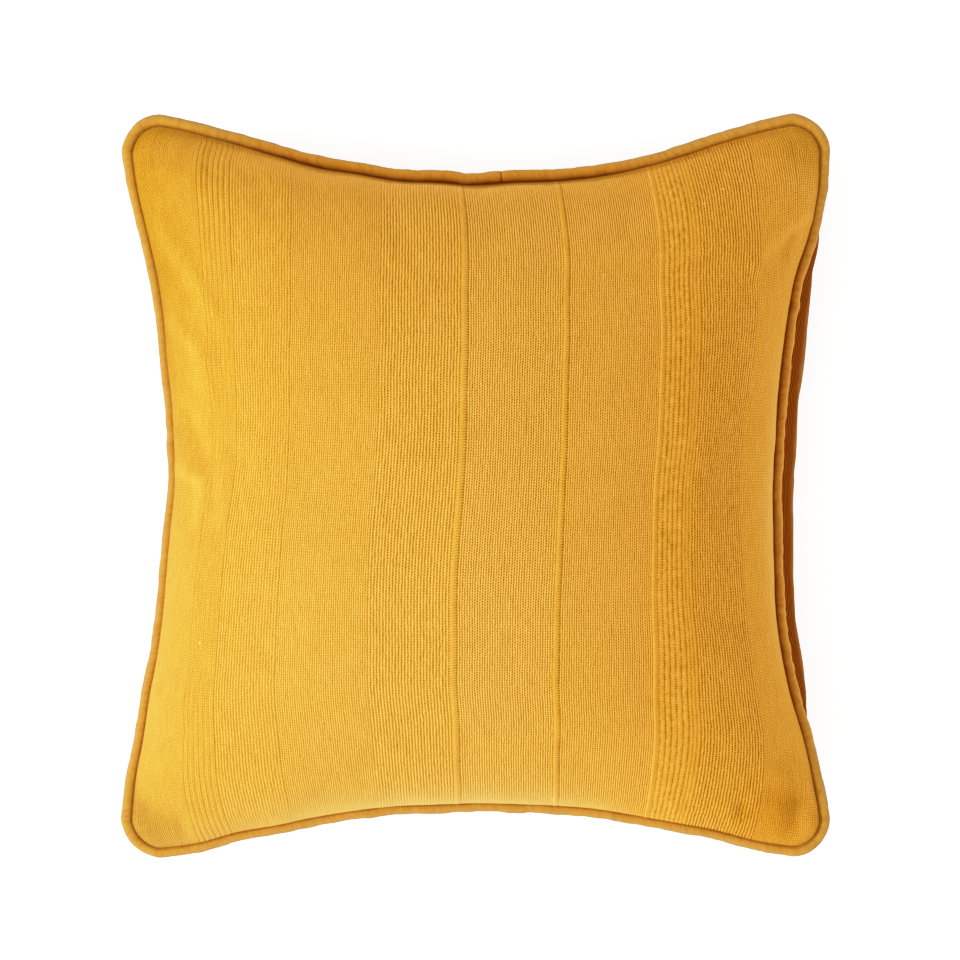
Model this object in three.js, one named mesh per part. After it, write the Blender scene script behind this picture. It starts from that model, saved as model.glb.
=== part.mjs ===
// A filled square cushion cover of ribbed cotton with a piped edge, lying on its back.
// Lengths are millimetres. +Z is up, out of the front, and +Y runs towards the top edge.
// The cover is two panels sewn together round their edge, with a piping between them.
// Each panel is the half of the filled cushion that it covers, parted at the seam.

import * as THREE from 'three';
import { mergeVertices } from 'three/addons/utils/BufferGeometryUtils.js';

// The edge, as its piping runs: reach from the middle to the outermost piping, at the corners
const edge = { halfWidth: 211, halfHeight: 221.5, cornerRadius: 19, cornerDroop: 6 };

// Each side is drawn in between its corners. skew moves the deepest place along the side.
const sides = {
  right: { drawnIn: 28.8, power: 1.16, skew: -0.07, belly: 42 },
  top: { drawnIn: 35.7, power: 1.13, skew: 0.1, belly: 13 },
  left: { drawnIn: 27.1, power: 1.11, skew: 0.24, belly: 16 },
  bottom: { drawnIn: 27.8, power: 1.08, skew: 0.03, belly: 13 },
};

// Heights: the seam above the surface that the cushion lies on, the front's crown above the
// seam, and the depth that the back would have if nothing flattened it
const seamHeight = 55;
const frontRise = 91;
const backDepth = 64;

const piping = { radius: 3.4, steps: 200, facets: 5, lift: 0.9, rightLift: 1.3, join: 0.3 };
const seamInset = 3.75; // from the middle of the piping to the seam, seen from above
const gap = 0.3; // between pieces that touch
const joinPlace = 0.53; // where the ends of the piping meet, as a share of the top side

// Raised cords woven into the cloth, all along its height: places from the left seam, measured
// on the flat cloth
const clothWidth = 426;
const cordGroups = [
  { from: 42, cords: 6, pitch: 3.4, rise: 0.7 },
  { from: 202.5, cords: 1, pitch: 4.4, rise: 1.1 },
  { from: 264, cords: 1, pitch: 4.2, rise: 1.1 },
  { from: 320.5, cords: 6, pitch: 3.4, rise: 0.9 },
];
const cordFade = 0.04; // share of the height over which a cord flattens into the seam

const grid = { columnStep: 15, frontRows: 30, backColumns: 30, backRows: 30 };
const cornerShares = [0.009, 0.018, 0.028]; // of a side's length, where columns turn a corner
const spreadSteps = 96; // steps in which a section's length is measured

const colours = { panel: 0xe0a038, piping: 0xc98428 };

// A side's drawing-in at t, from -1 to 1 along the side
function drawnIn(side, t) {
  const bow = Math.cos((Math.PI / 2) * THREE.MathUtils.clamp(t, -1, 1));
  return side.drawnIn * Math.pow(Math.max(bow, 0), side.power) * (1 + side.skew * t);
}

// The height of the seam: its corners hang a little
function seamLevel(x, y) {
  const corner = (x / edge.halfWidth) ** 2 * (y / edge.halfHeight) ** 2;
  return seamHeight - edge.cornerDroop * corner;
}

// How far the belly of the back shows past the right side, from 0 at its corners to 1
function bellyShare(y) {
  const t = Math.abs(y) / (edge.halfHeight - edge.cornerRadius);
  return 1 - THREE.MathUtils.smoothstep(t, 0.42, 0.86);
}

// One side of the edge, seen from above, from the middle of one corner to the middle of the next.
// inset is the distance inside the piping's middle line. Sides run to the right or upwards.
class EdgeSide extends THREE.Curve {
  constructor(name, inset) {
    super();
    this.side = sides[name];
    this.upright = name === 'left' || name === 'right';
    this.sign = name === 'right' || name === 'top' ? 1 : -1;
    this.inset = inset;
    const { halfWidth, halfHeight, cornerRadius } = edge;
    this.reach = (this.upright ? halfWidth : halfHeight) - inset;
    this.straight = (this.upright ? halfHeight : halfWidth) - cornerRadius;
    this.radius = cornerRadius - inset;
    this.cornerShare = 0.05;
  }

  getPoint(share, target = new THREE.Vector3()) {
    const { cornerShare, radius, reach, straight } = this;
    const t = THREE.MathUtils.clamp((share - cornerShare) / (1 - 2 * cornerShare), 0, 1) * 2 - 1;
    const past = Math.max(cornerShare - share, share - 1 + cornerShare, 0) / cornerShare;
    const turn = (past * Math.PI) / 4;
    const out = reach - drawnIn(this.side, t) - radius * (1 - Math.cos(turn));
    const along = t * straight + Math.sign(t) * radius * Math.sin(turn);
    const x = this.upright ? this.sign * out : along;
    const y = this.upright ? along : this.sign * out;
    return target.set(x, y, seamLevel(x, y));
  }
}

// The whole edge as a line for the piping, from its join round to its join again
class PipingLine extends THREE.Curve {
  constructor() {
    super();
    this.top = new EdgeSide('top', 0);
    this.left = new EdgeSide('left', 0);
    this.bottom = new EdgeSide('bottom', 0);
    this.right = new EdgeSide('right', 0);
    this.lengths = [
      this.top.getLength() * joinPlace,
      this.left.getLength(),
      this.bottom.getLength(),
      this.right.getLength(),
      this.top.getLength() * (1 - joinPlace),
    ];
    this.total = this.lengths.reduce((sum, length) => sum + length, 0);
  }

  getPoint(share, target = new THREE.Vector3()) {
    const half = piping.join / 2;
    let run = half + share * (this.total - 2 * half);
    let part = 0;
    while (part < 4 && run > this.lengths[part]) {
      run -= this.lengths[part];
      part += 1;
    }
    const f = run / this.lengths[part];
    if (part === 0) this.top.getPointAt(joinPlace * (1 - f), target);
    if (part === 1) this.left.getPointAt(1 - f, target);
    if (part === 2) this.bottom.getPointAt(f, target);
    if (part === 3) this.right.getPointAt(f, target);
    if (part === 4) this.top.getPointAt(1 - f * (1 - joinPlace), target);
    const rightShare = target.x > 0 ? bellyShare(target.y) : 0;
    target.z += piping.lift + piping.rightLift * rightShare;
    return target;
  }
}

// Places from -1 to 1 across a half-ellipse section of this half span and rise, for shares of
// its length, so that columns and rows lie evenly on the cloth
function spread(shares, halfSpan, rise) {
  const places = [-1];
  const lengths = [0];
  for (let k = 1; k <= spreadSteps; k += 1) {
    const place = -Math.cos((Math.PI * k) / spreadSteps);
    const middle = Math.PI * ((k - 0.5) / spreadSteps);
    const step = Math.PI / spreadSteps;
    const length = step * Math.hypot(halfSpan * Math.sin(middle), rise * Math.cos(middle));
    places.push(place);
    lengths.push(lengths[k - 1] + length);
  }
  const total = lengths[spreadSteps];
  return shares.map((share) => {
    const wanted = share * total;
    let k = 1;
    while (k < spreadSteps && lengths[k] < wanted) k += 1;
    const f = (wanted - lengths[k - 1]) / (lengths[k] - lengths[k - 1]);
    return THREE.MathUtils.lerp(places[k - 1], places[k], f);
  });
}

// Plan position inside the seam, for places from -1 to 1 across and up, by blending the four sides
function insideSeam(seam, across, up) {
  const a = (across + 1) / 2;
  const b = (up + 1) / 2;
  const bottom = seam.bottom.getPointAt(a);
  const top = seam.top.getPointAt(a);
  const left = seam.left.getPointAt(b);
  const right = seam.right.getPointAt(b);
  const blend = (from, to, share) => from * (1 - share) + to * share;
  const corner = (axis) => blend(
    blend(seam.left.getPointAt(0)[axis], seam.right.getPointAt(0)[axis], a),
    blend(seam.left.getPointAt(1)[axis], seam.right.getPointAt(1)[axis], a),
    b,
  );
  return {
    x: blend(bottom.x, top.x, b) + blend(left.x, right.x, a) - corner('x'),
    y: blend(bottom.y, top.y, b) + blend(left.y, right.y, a) - corner('y'),
  };
}

// Rows and columns of points over one panel: pointAt(across, up) gives each point
function panelPoints(columnShares, rowShares, rise, pointAt) {
  const { halfWidth, halfHeight } = edge;
  const width = halfWidth - seamInset - (sides.left.drawnIn + sides.right.drawnIn) / 2;
  const height = halfHeight - seamInset - (sides.top.drawnIn + sides.bottom.drawnIn) / 2;
  const middleAcross = spread(columnShares, width, rise);
  const middleUp = spread(rowShares, height, rise);
  const arch = (place) => rise * Math.sqrt(Math.max(1 - place * place, 0));
  const acrossByRow = middleUp.map((up) => spread(columnShares, width, arch(up)));
  const upByColumn = middleAcross.map((across) => spread(rowShares, height, arch(across)));
  return rowShares.map((_, row) => columnShares.map((__, column) => (
    pointAt(acrossByRow[row][column], upByColumn[column][row])
  )));
}

// How high a section stands at these places, from 0 at the seam to 1 in the middle
function crown(across, up) {
  return Math.sqrt(Math.max((1 - across * across) * (1 - up * up), 0));
}

function frontPoint(seam, across, up) {
  const { x, y } = insideSeam(seam, across, up);
  return new THREE.Vector3(x, y, seamLevel(x, y) + gap / 2 + frontRise * crown(across, up));
}

// The back bellies out past the seam before it turns in, and is flat where it rests
function backPoint(seam, across, up) {
  const { x, y } = insideSeam(seam, across, up);
  const outAcross = 2 * across * Math.sqrt(Math.max(1 - across * across, 0));
  const outUp = 2 * up * Math.sqrt(Math.max(1 - up * up, 0));
  const rightness = THREE.MathUtils.smoothstep(across, -0.5, 0.8);
  const topness = THREE.MathUtils.smoothstep(up, -0.5, 0.5);
  const rightBelly = sides.left.belly + (sides.right.belly - sides.left.belly) * bellyShare(y);
  const belly = THREE.MathUtils.lerp(sides.left.belly, rightBelly, rightness);
  const upBelly = THREE.MathUtils.lerp(sides.bottom.belly, sides.top.belly, topness);
  const level = seamLevel(x, y) - gap / 2 - backDepth * crown(across, up);
  return new THREE.Vector3(
    x + belly * outAcross * (1 - up * up),
    y + upBelly * outUp * (1 - across * across),
    Math.max(level, 0),
  );
}

// Moves the points of the raised cords out of the cloth, along its own slope
function raiseCords(points, rowShares, heights) {
  const flat = points.map((row) => row.map((point) => point.clone()));
  for (let row = 1; row < rowShares.length - 1; row += 1) {
    const fade = Math.min(rowShares[row], 1 - rowShares[row]) / cordFade;
    for (let column = 1; column < heights.length - 1; column += 1) {
      const height = heights[column] * Math.min(fade, 1);
      if (height > 0) {
        const across = flat[row][column + 1].clone().sub(flat[row][column - 1]);
        const up = flat[row + 1][column].clone().sub(flat[row - 1][column]);
        points[row][column].addScaledVector(across.cross(up).normalize(), height);
      }
    }
  }
}

// Columns of the front: the sides and the crest of every cord, and plain steps between them
function frontColumns() {
  const nearCorner = cornerShares.map((share) => share * clothWidth);
  const columns = [0, ...nearCorner].map((at) => ({ at, height: 0 }));
  for (const group of cordGroups) {
    fillPlain(columns, group.from);
    for (let cord = 0; cord < group.cords; cord += 1) {
      const start = group.from + cord * group.pitch;
      columns.push({ at: start + group.pitch * 0.3, height: group.rise });
      columns.push({ at: start + group.pitch * 0.7, height: group.rise });
      columns.push({ at: start + group.pitch, height: 0 });
    }
  }
  fillPlain(columns, clothWidth - nearCorner[nearCorner.length - 1]);
  nearCorner.slice(0, -1).reverse().forEach((from) => {
    columns.push({ at: clothWidth - from, height: 0 });
  });
  columns.push({ at: clothWidth, height: 0 });
  return {
    shares: columns.map((column) => column.at / clothWidth),
    heights: columns.map((column) => column.height),
  };
}

function fillPlain(columns, until) {
  const from = columns[columns.length - 1].at;
  const count = Math.max(Math.round((until - from) / grid.columnStep), 1);
  for (let k = 1; k <= count; k += 1) {
    columns.push({ at: THREE.MathUtils.lerp(from, until, k / count), height: 0 });
  }
}

// Shares of a side for plain rows or columns, closer together where they turn a corner
function plainShares(count) {
  const first = cornerShares[cornerShares.length - 1];
  const between = Array.from({ length: count - 1 }, (_, k) => (
    THREE.MathUtils.lerp(first, 1 - first, (k + 1) / count)
  ));
  return [
    0,
    ...cornerShares,
    ...between,
    ...cornerShares.map((share) => 1 - share).reverse(),
    1,
  ];
}

// A closed body: the panel's surface, and an inner face across the seam that meets it at the edge
function panelGeometry(points, facesUp) {
  const rows = points.length;
  const columns = points[0].length;
  const positions = [];
  const triangle = (a, b, c) => {
    const corners = facesUp ? [a, b, c] : [a, c, b];
    corners.forEach((point) => positions.push(point.x, point.y, point.z));
  };
  for (let row = 0; row < rows - 1; row += 1) {
    for (let column = 0; column < columns - 1; column += 1) {
      const a = points[row][column];
      const b = points[row][column + 1];
      const c = points[row + 1][column + 1];
      const d = points[row + 1][column];
      const leansRight = (row < rows / 2) === (column < columns / 2);
      if (leansRight) {
        triangle(a, b, c);
        triangle(a, c, d);
      } else {
        triangle(a, b, d);
        triangle(b, c, d);
      }
    }
  }
  const rim = [
    ...points[0].slice(0, -1),
    ...points.slice(0, -1).map((row) => row[columns - 1]),
    ...points[rows - 1].slice(1).reverse(),
    ...points.slice(1).map((row) => row[0]).reverse(),
  ];
  const middle = new THREE.Vector3(0, 0, seamLevel(0, 0) + (facesUp ? gap : -gap) / 2);
  rim.forEach((point, k) => triangle(point, middle, rim[(k + 1) % rim.length]));
  const geometry = new THREE.BufferGeometry();
  geometry.setAttribute('position', new THREE.Float32BufferAttribute(positions, 3));
  return mergeVertices(geometry, 1e-4);
}

function seamSides() {
  return {
    top: new EdgeSide('top', seamInset),
    bottom: new EdgeSide('bottom', seamInset),
    left: new EdgeSide('left', seamInset),
    right: new EdgeSide('right', seamInset),
  };
}

function makeFrontPanel(material) {
  const seam = seamSides();
  const { shares, heights } = frontColumns();
  const rowShares = plainShares(grid.frontRows);
  const pointAt = (across, up) => frontPoint(seam, across, up);
  const points = panelPoints(shares, rowShares, frontRise, pointAt);
  raiseCords(points, rowShares, heights);
  return named('front_panel', panelGeometry(points, true), material);
}

function makeBackPanel(material) {
  const seam = seamSides();
  const columnShares = plainShares(grid.backColumns);
  const rowShares = plainShares(grid.backRows);
  const pointAt = (across, up) => backPoint(seam, across, up);
  const points = panelPoints(columnShares, rowShares, backDepth, pointAt);
  return named('back_panel', panelGeometry(points, false), material);
}

function makePiping(material) {
  const round = new THREE.Shape();
  round.absarc(0, 0, piping.radius, 0, Math.PI * 2);
  const geometry = new THREE.ExtrudeGeometry(round, {
    steps: piping.steps,
    curveSegments: piping.facets,
    extrudePath: new PipingLine(),
  });
  return named('piping', geometry, material);
}

function named(name, geometry, material) {
  const mesh = new THREE.Mesh(geometry, material);
  mesh.name = name;
  return mesh;
}

function clothMaterial(colour) {
  return new THREE.MeshStandardMaterial({ color: colour, roughness: 0.9, metalness: 0 });
}

const cushion = new THREE.Group();
const panelCloth = clothMaterial(colours.panel);
cushion.add(makeFrontPanel(panelCloth));
cushion.add(makeBackPanel(panelCloth.clone()));
cushion.add(makePiping(clothMaterial(colours.piping)));

// The middle of the whole stands over the origin
const middle = new THREE.Box3().setFromObject(cushion).getCenter(new THREE.Vector3());
cushion.position.set(-middle.x, -middle.y, 0);

export default cushion;
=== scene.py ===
import math
import time

import bmesh
import bpy
import numpy as np
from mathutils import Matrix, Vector


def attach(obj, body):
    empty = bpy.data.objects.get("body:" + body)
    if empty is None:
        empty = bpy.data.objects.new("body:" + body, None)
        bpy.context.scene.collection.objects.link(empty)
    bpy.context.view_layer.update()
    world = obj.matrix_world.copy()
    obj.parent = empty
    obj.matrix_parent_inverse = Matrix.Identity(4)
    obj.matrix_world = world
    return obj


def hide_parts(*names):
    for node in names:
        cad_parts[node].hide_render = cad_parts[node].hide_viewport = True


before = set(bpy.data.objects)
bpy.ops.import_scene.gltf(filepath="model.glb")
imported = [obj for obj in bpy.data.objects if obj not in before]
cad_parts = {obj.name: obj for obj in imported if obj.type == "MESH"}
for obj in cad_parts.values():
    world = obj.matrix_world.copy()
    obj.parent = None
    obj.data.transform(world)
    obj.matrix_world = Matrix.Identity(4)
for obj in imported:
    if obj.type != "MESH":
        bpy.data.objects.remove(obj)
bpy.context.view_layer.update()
started = time.time()

# The cushion cover lies on its back, +Z out of its front and +Y towards its top edge.
# All lengths are metres.

mm = 0.001
seed = 4178


def say(words):
    print(f"cushion cover: {words} ({time.time() - started:.1f} s)")


def ease(value, low, high):
    t = np.clip((value - low) / (high - low), 0, 1)
    return t * t * (3 - 2 * t)


# Smooth noise from -1 to 1 along a line, for places in units of one wave
def lineNoise(places, salt):
    rng = np.random.default_rng(seed + salt)
    size = 512
    knots = rng.uniform(-1, 1, size)
    places = np.asarray(places, float)
    base = np.floor(places).astype(int)
    f = ease(places - base, 0, 1)
    return knots[base % size] * (1 - f) + knots[(base + 1) % size] * f


# The same over a field, for two arrays of places
def fieldNoise(across, up, salt):
    rng = np.random.default_rng(seed + salt)
    size = 128
    knots = rng.uniform(-1, 1, (size, size))
    across, up = np.broadcast_arrays(np.asarray(across, float), np.asarray(up, float))
    i, j = np.floor(across).astype(int), np.floor(up).astype(int)
    f, g = ease(across - i, 0, 1), ease(up - j, 0, 1)
    left, right = i % size, (i + 1) % size
    low = knots[j % size, left] * (1 - f) + knots[j % size, right] * f
    high = knots[(j + 1) % size, left] * (1 - f) + knots[(j + 1) % size, right] * f
    return low * (1 - g) + high * g


# Weights that carry a smooth field on even knots to these shares of its width
def knotWeights(shares, knots):
    weights = np.zeros((len(shares), knots))
    places = np.clip(shares, 0, 1) * (knots - 1)
    base = np.clip(np.floor(places).astype(int), 0, knots - 2)
    f = places - base
    for step, weight in (
        (-1, -0.5 * f + f ** 2 - 0.5 * f ** 3),
        (0, 1 - 2.5 * f ** 2 + 1.5 * f ** 3),
        (1, 0.5 * f + 2 * f ** 2 - 1.5 * f ** 3),
        (2, -0.5 * f ** 2 + 0.5 * f ** 3),
    ):
        np.add.at(weights, (np.arange(len(shares)), np.clip(base + step, 0, knots - 1)), weight)
    return weights


def linkObject(name, data):
    made = bpy.data.objects.new(name, data)
    bpy.context.scene.collection.objects.link(made)
    return made


# A grid through these rows of points
def gridObject(name, points):
    rows, columns = points.shape[:2]
    bm = bmesh.new()
    bmesh.ops.create_grid(bm, x_segments=columns - 1, y_segments=rows - 1, size=1)
    mesh = bpy.data.meshes.new(name)
    bm.to_mesh(mesh)
    bm.free()
    mesh.vertices.foreach_set("co", points.reshape(-1))
    return linkObject(name, mesh)


def unit(vectors):
    return vectors / np.maximum(np.linalg.norm(vectors, axis=-1, keepdims=True), 1e-12)


# The distance of each point of a line from its start
def runOf(line):
    return np.concatenate([[0], np.cumsum(np.linalg.norm(np.diff(line, axis=0), axis=1))])


def pointsAt(line, run, places):
    return np.stack([np.interp(places, run, line[:, k]) for k in (0, 1)], axis=-1)


# Camera: straight above the front
camera = dict(place=(0.0024, 0.0033, 1.685), lens=101, sensor=36, near=0.05, far=50)

cameraData = bpy.data.cameras.new("camera")
cameraData.lens = camera["lens"]
cameraData.sensor_width = camera["sensor"]
cameraData.clip_start = camera["near"]
cameraData.clip_end = camera["far"]
cameraObject = linkObject("camera", cameraData)
cameraObject.location = camera["place"]
bpy.context.scene.camera = cameraObject


# The edge of the cover, as its piping runs, and how each side is drawn in between its corners
edge = dict(
    halfWidth=211 * mm, halfHeight=221.5 * mm, cornerRadius=19 * mm, cornerDroop=6 * mm,
    cornerShare=0.05, seamHeight=55 * mm, seamInset=2.7 * mm, gap=0.3 * mm, frontRise=91 * mm,
    backDepth=64 * mm, steps=900,
)
straightAcross = edge["halfWidth"] - edge["cornerRadius"]
straightUp = edge["halfHeight"] - edge["cornerRadius"]
# bends: how far in millimetres the sewn edge strays outwards, at even steps along the side.
# over: how far the front swells out over the piping just above the seam.
sides = dict(
    right=dict(
        drawnIn=28.8 * mm, power=1.16, skew=-0.07, over=0.2 * mm, bends=(
            0.4, 0.2, -0.6, -3.1, -4.0, -3.6, -1.8, -0.8, -0.8, -0.2, -0.8, -1.2, -1.7, -1.5, 1.7,
            2.5, 0.5)),
    top=dict(
        drawnIn=35.7 * mm, power=1.13, skew=0.1, over=-3.6 * mm, bends=(
            0.3, 0, -0.5, -1.2, -2.3, -1.1, -1.3, 0.1, -0.3, 1.0, 0, -1.1, -1.5, -0.7, 0.8, 1.2,
            0.7)),
    left=dict(
        drawnIn=27.1 * mm, power=1.11, skew=0.24, over=1.6 * mm, bends=(
            0.9, 1.4, 0.3, 0.4, -0.7, -0.4, 0.4, 0.4, -0.8, -0.1, 0.4, 1.2, 0.2, 0, 0.8, 1.5, 0.9)),
    bottom=dict(
        drawnIn=27.8 * mm, power=1.08, skew=0.03, over=0.5 * mm, bends=(
            1.2, 2.1, 0.3, 0.7, -0.1, -0.4, -0.4, 0.4, 0.3, 0.4, -0.3, -0.9, -0.4, -0.3, -0.6, 0.8,
            0.2)),
)
# The swell over the piping is most at this height over the seam and grows towards each side
# between these places from 0 to 1. On the left it falls off towards the ends of the side.
swell = dict(height=9 * mm, start=0.5, full=0.95, leftFall=1.4)
# How far the back bellies out on the left and at its top and bottom, and in millimetres at even
# steps up the right side, where it stops showing between the places in bellyEnds
leftBelly, endBelly = 16 * mm, 13 * mm
rightBellies = (0, 6, 22, 36, 40, 39.5, 40, 40.5, 41, 41.5, 42, 43, 41, 38, 30, 8, 0)
bellyEnds = (0.42, 0.86)


def seamLevel(x, y):
    corner = (x / edge["halfWidth"]) ** 2 * (y / edge["halfHeight"]) ** 2
    return edge["seamHeight"] - edge["cornerDroop"] * corner


# A smooth line through values at even steps from 0 to 1
def throughKnots(values, places):
    return (knotWeights(places.ravel(), len(values)) @ np.array(values)).reshape(places.shape)


# How far the belly of the back shows past the right side, from 0 at its corners to 1
def bellyShare(y):
    return 1 - ease(np.abs(y) / straightUp, *bellyEnds)


# One side of the edge from corner to corner, at even steps of its length
def edgeSide(name, inset):
    side, steps = sides[name], edge["steps"]
    upright = name in ("left", "right")
    sign = 1 if name in ("right", "top") else -1
    reach = (edge["halfWidth"] if upright else edge["halfHeight"]) - inset
    straight = straightUp if upright else straightAcross
    radius = edge["cornerRadius"] - inset
    corner = edge["cornerShare"]
    share = np.linspace(0, 1, steps * 3 + 1)
    t = np.clip((share - corner) / (1 - 2 * corner), 0, 1) * 2 - 1
    past = np.maximum(np.maximum(corner - share, share - 1 + corner), 0) / corner
    turn = past * np.pi / 4
    bow = np.maximum(np.cos(np.pi / 2 * t), 0)
    drawnIn = side["drawnIn"] * bow ** side["power"] * (1 + side["skew"] * t)
    bend = throughKnots(side["bends"], (t + 1) / 2) * mm * (1 - past) ** 2
    out = reach - drawnIn + bend - radius * (1 - np.cos(turn))
    along = t * straight + np.sign(t) * radius * np.sin(turn)
    line = np.stack([sign * out, along] if upright else [along, sign * out], axis=1)
    run = runOf(line)
    return pointsAt(line, run, np.linspace(0, run[-1], steps + 1))


def onSide(line, share):
    return pointsAt(line, np.arange(len(line)), np.clip(share, 0, 1) * (len(line) - 1))


# Plan place inside the seam, for places from -1 to 1 across and up, by blending the four sides
def insideSeam(across, up):
    a, b = (across + 1) / 2, (up + 1) / 2
    bottom, top = onSide(seamLines["bottom"], a), onSide(seamLines["top"], a)
    left, right = onSide(seamLines["left"], b), onSide(seamLines["right"], b)
    a, b = a[..., None], b[..., None]
    (lowLeft, *_, highLeft), (lowRight, *_, highRight) = seamLines["left"], seamLines["right"]
    flat = (lowLeft * (1 - a) + lowRight * a) * (1 - b)
    flat = flat + (highLeft * (1 - a) + highRight * a) * b
    blended = bottom * (1 - b) + top * b + left * (1 - a) + right * a - flat
    return blended[..., 0], blended[..., 1]


# Places from -1 to 1 across half-ellipse sections, at these shares of each section's length
def spread(shares, halfSpan, rises):
    steps = 192
    places = -np.cos(np.pi * np.arange(steps + 1) / steps)
    middles = np.pi * (np.arange(steps) + 0.5) / steps
    found = np.empty_like(shares)
    for k, rise in enumerate(rises):
        lengths = np.hypot(halfSpan * np.sin(middles), rise * np.cos(middles))
        run = np.concatenate([[0], np.cumsum(lengths)])
        found[k] = np.interp(shares[k] * run[-1], run, places)
    return found


# Places across and up of a panel's points, for shares of the cloth's width and height
def clothPlaces(columnShares, rowShares, rise):
    width = edge["halfWidth"] - edge["seamInset"]
    width -= (sides["left"]["drawnIn"] + sides["right"]["drawnIn"]) / 2
    height = edge["halfHeight"] - edge["seamInset"]
    height -= (sides["top"]["drawnIn"] + sides["bottom"]["drawnIn"]) / 2
    middleRow = rowShares[:, rowShares.shape[1] // 2][None, :]
    middleColumn = columnShares[columnShares.shape[0] // 2][None, :]
    middleUp = spread(middleRow, height, [rise])[0]
    middleAcross = spread(middleColumn, width, [rise])[0]
    arch = lambda places: rise * np.sqrt(np.maximum(1 - places ** 2, 0))
    across = spread(columnShares, width, arch(middleUp))
    up = spread(np.ascontiguousarray(rowShares.T), height, arch(middleAcross)).T
    return across, up


def crown(across, up):
    return np.sqrt(np.maximum((1 - across ** 2) * (1 - up ** 2), 0))


def leftShare(up):
    return 1 - swell["leftFall"] * up ** 2


def nearSide(place):
    return ease(place, swell["start"], swell["full"])


def frontPoints(across, up):
    x, y = insideSeam(across, up)
    rise = edge["frontRise"] * crown(across, up)
    bulge = rise / swell["height"] * np.exp(1 - rise / swell["height"])
    overLeft = sides["left"]["over"] * leftShare(up) * nearSide(-across)
    overX = sides["right"]["over"] * nearSide(across) - overLeft
    overY = sides["top"]["over"] * nearSide(up) - sides["bottom"]["over"] * nearSide(-up)
    z = seamLevel(x, y) + edge["gap"] / 2 + rise
    return np.stack([x + overX * bulge, y + overY * bulge, z], axis=-1)


# The back bellies out past the seam before it turns in, and is flat where it rests
def backPoints(across, up):
    x, y = insideSeam(across, up)
    outAcross = 2 * across * np.sqrt(np.maximum(1 - across ** 2, 0))
    outUp = 2 * up * np.sqrt(np.maximum(1 - up ** 2, 0))
    toRight = throughKnots(rightBellies, (y / straightUp + 1) / 2) * mm
    toLeft = leftBelly * (1 - up ** 2)
    belly = toLeft + (toRight - toLeft) * ease(across, -0.5, 0.8)
    level = seamLevel(x, y) - edge["gap"] / 2 - edge["backDepth"] * crown(across, up)
    return np.stack([
        x + belly * outAcross,
        y + endBelly * outUp * (1 - across ** 2),
        np.maximum(level, 0),
    ], axis=-1)


seamLines = {name: edgeSide(name, edge["seamInset"]) for name in sides}
pipingLines = {name: edgeSide(name, 0) for name in sides}
say("edge drawn")


# The cloth's stripes from its left seam, in millimetres of the flat cloth. ribs is how many lie
# in one, shade how dark their valleys are, weft how dark the dots where cross threads dive are,
# lines how strong those threads are, slub how uneven the yarn is, tone how much darker the whole
# stripe is and apart how far its columns are. Raised ribs also have rise, groove for a narrow
# dark valley, and steps, the columns of each; cords says how many are raised if not all are.
# Their darker valleys, dive dots and grooves are painted shade in the hollows of the weave.
cloth = dict(
    width=426 * mm, height=452 * mm, plainStep=3.4,
    stripes=[
        dict(to=42, ribs=34, shade=0.12, weft=0.13, lines=0.13, tone=-0.01, apart=1.4),
        dict(to=62.4, ribs=14, shade=0.25, weft=0.3, lines=0.12, tone=0.02, rise=0.3, groove=0.5,
             cords=6, steps=8),
        dict(to=99.4, ribs=21, shade=0.52, weft=0.3, lines=0.12, rise=0.2, steps=3),
        dict(to=155.6, ribs=41, shade=0.7, weft=0.35, lines=0.16),
        dict(to=202.5, ribs=26, shade=0.75, weft=0.4, lines=0.14, tone=-0.02, slub=0.06,
             rise=0.34, steps=4),
        dict(to=206.2, ribs=1, shade=0, weft=0.5, lines=0.22, tone=-0.06, rise=0.5, steps=6),
        # A narrow stripe of tone 0.3 after a single raised cord is a painted shadow line beside it.
        dict(to=206.9, weft=0.3, tone=0.3, apart=0.35),
        dict(to=264, ribs=38, shade=0.98, weft=0.75, lines=0.22),
        dict(to=267.2, ribs=1, shade=0, weft=0.4, lines=0.24, tone=-0.07, rise=0.5, steps=6),
        dict(to=267.9, weft=0.3, tone=0.3, apart=0.35),
        dict(to=321, ribs=40, shade=0.9, weft=0.55, lines=0.18),
        dict(to=323.3, ribs=1, weft=0.15, lines=0.14, tone=-0.16, rise=0.5, steps=8),
        dict(to=324.4, weft=0.35, lines=0.2, tone=0.02, apart=0.5),
        dict(to=343.5, ribs=5, weft=0.25, lines=0.14, slub=0.4, rise=0.26, groove=0.52, steps=8),
        dict(to=350, ribs=3, shade=0.4, weft=0.25, lines=0.12, slub=0.15, rise=0.1, steps=3),
        dict(to=386.5, ribs=21, shade=0.78, weft=0.45, lines=0.16, tone=0.05, slub=0.18,
             rise=0.24, steps=3),
        dict(to=408, ribs=17, shade=0.36, weft=0.28, lines=0.2, tone=-0.01, apart=2.2),
        dict(to=426, ribs=15, shade=0.22, weft=0.2, lines=0.18, tone=-0.02, apart=2.2),
    ],
    rows=250, backRows=150,
    rowPull=0.07,  # how much closer the rows lie at the seam
    fade=0.03,  # share of the height over which raised ribs flatten into the seam
    unevenRise=0.25, unevenPitch=(0.71, 60),  # waves for each rib and up the height
    inset=0.12,  # millimetres that a stripe's first and last columns keep from its borders
    roundness=1.3, grooveSharp=6, grooveMean=0.23,
)

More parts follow.
